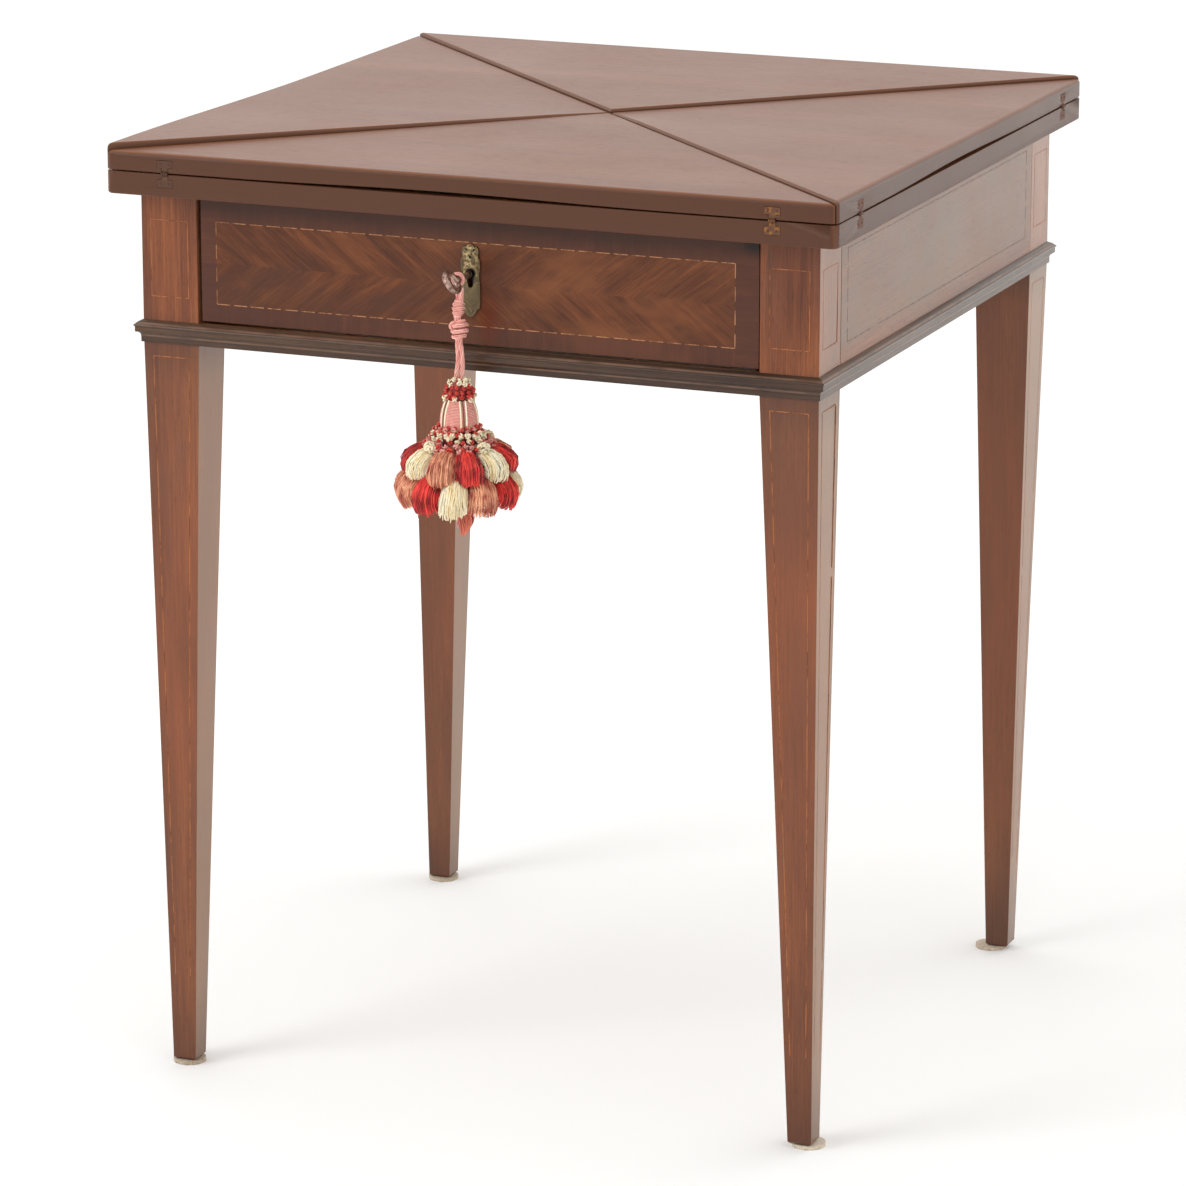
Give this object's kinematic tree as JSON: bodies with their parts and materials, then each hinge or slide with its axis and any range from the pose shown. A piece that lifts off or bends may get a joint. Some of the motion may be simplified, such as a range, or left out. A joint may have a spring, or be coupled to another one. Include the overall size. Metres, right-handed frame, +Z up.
{
  "type": "envelope card table",
  "caption": "Square card table with a swivelling top of folding triangular leaves, tapered legs and a locked frieze drawer with a tassel on its key.",
  "frame": {"origin": "on the floor, at the middle of the table's box, the key included and the tassel apart; the top's swivel axis stands 11.65 mm behind it", "axes": "+Z up, the drawer front faces -Y, +X to the right as seen from the front"},
  "size_m": [0.5974, 0.6483, 0.745],
  "materials": {
    "mahogany": "worn french polish, red-brown",
    "mahogany_top": "worn french polish, dark brown",
    "dark_moulding": "dark polished moulding",
    "drawer_lining": "bare wood",
    "baize": "green baize",
    "felt": "off-white felt",
    "brass": "aged brass",
    "steel": "worn steel",
    "cord": "pink twisted cord",
    "tufts": "cut yarn tufts"
  },
  "bodies": {
    "frame": {"leg_front_left": "mahogany", "leg_front_right": "mahogany", "leg_back_left": "mahogany", "leg_back_right": "mahogany", "pad_front_left": "felt", "pad_front_right": "felt", "pad_back_left": "felt", "pad_back_right": "felt", "rail_left": "mahogany", "rail_right": "mahogany", "rail_back": "mahogany", "rail_front_lower": "mahogany", "rail_front_top": "drawer_lining", "moulding_front": "dark_moulding", "moulding_right": "dark_moulding", "moulding_back": "dark_moulding", "moulding_left": "dark_moulding", "pivot_rail": "drawer_lining", "drawer_runner_left": "drawer_lining", "drawer_runner_right": "drawer_lining"},
    "top": {"bed_board": "mahogany_top", "bed_baize": "baize", "pivot_bolt": "steel", "hinge_front_a_bed": "brass", "hinge_front_b_bed": "brass", "hinge_right_a_bed": "brass", "hinge_right_b_bed": "brass", "hinge_back_a_bed": "brass", "hinge_back_b_bed": "brass", "hinge_left_a_bed": "brass", "hinge_left_b_bed": "brass"},
    "leaf_front": {"leaf_front": "mahogany_top", "baize_front": "baize", "hinge_front_a_leaf": "brass", "hinge_front_b_leaf": "brass"},
    "leaf_right": {"leaf_right": "mahogany_top", "baize_right": "baize", "hinge_right_a_leaf": "brass", "hinge_right_b_leaf": "brass"},
    "leaf_back": {"leaf_back": "mahogany_top", "baize_back": "baize", "hinge_back_a_leaf": "brass", "hinge_back_b_leaf": "brass"},
    "leaf_left": {"leaf_left": "mahogany_top", "baize_left": "baize", "hinge_left_a_leaf": "brass", "hinge_left_b_leaf": "brass"},
    "drawer": {"drawer_front": "mahogany", "drawer_side_left": "drawer_lining", "drawer_side_right": "drawer_lining", "drawer_bottom": "drawer_lining", "drawer_back": "drawer_lining", "escutcheon": "brass", "lock_case": "brass"},
    "bolt": {"lock_bolt": "steel"},
    "loop": {"tassel_loop": "cord"},
    "key": {"key": "steel"},
    "tassel": {"tassel_cord": "cord", "tassel_head": "cord", "tassel_skirt": "tufts"}
  },
  "joints": [
    {"name": "top_swivel", "type": "hinge", "parent": "frame", "child": "top", "pos_m": [0, 0.01165, 0.7092], "axis": [0, 0, 1], "range_deg": [0, 45]},
    {"name": "leaf_front_fold", "type": "hinge", "parent": "top", "child": "leaf_front", "pos_m": [0, -0.28565, 0.7272], "axis": [1, 0, 0], "range_deg": [0, 180]},
    {"name": "leaf_right_fold", "type": "hinge", "parent": "top", "child": "leaf_right", "pos_m": [0.2973, 0.01165, 0.7272], "axis": [0, 1, 0], "range_deg": [0, 180]},
    {"name": "leaf_back_fold", "type": "hinge", "parent": "top", "child": "leaf_back", "pos_m": [0, 0.30895, 0.7272], "axis": [-1, 0, 0], "range_deg": [0, 180]},
    {"name": "leaf_left_fold", "type": "hinge", "parent": "top", "child": "leaf_left", "pos_m": [-0.2973, 0.01165, 0.7272], "axis": [0, -1, 0], "range_deg": [0, 180]},
    {"name": "drawer_slide", "type": "slide", "parent": "frame", "child": "drawer", "axis": [0, -1, 0], "range_m": [0, 0.3]},
    {"name": "key_pull", "type": "slide", "parent": "drawer", "child": "loop", "axis": [0, -1, 0], "range_m": [0, 0.04]},
    {"name": "key_turn", "type": "hinge", "parent": "loop", "child": "key", "pos_m": [-0.002, -0.30085, 0.6652], "axis": [0, -1, 0], "range_deg": [0, 360]},
    {"name": "lock_bolt_slide", "type": "slide", "parent": "drawer", "child": "bolt", "axis": [0, 0, 1], "range_m": [0, 0.00601]},
    {"name": "tassel_swing", "type": "hinge", "parent": "loop", "child": "tassel", "pos_m": [-0.002, -0.28885, 0.6652], "axis": [0, 1, 0], "range_deg": [-25, 25]}
  ],
  "couplings": [
    {"joint": "lock_bolt_slide", "follows": "key_turn", "m_per_rad": 0.00095493}
  ]
}
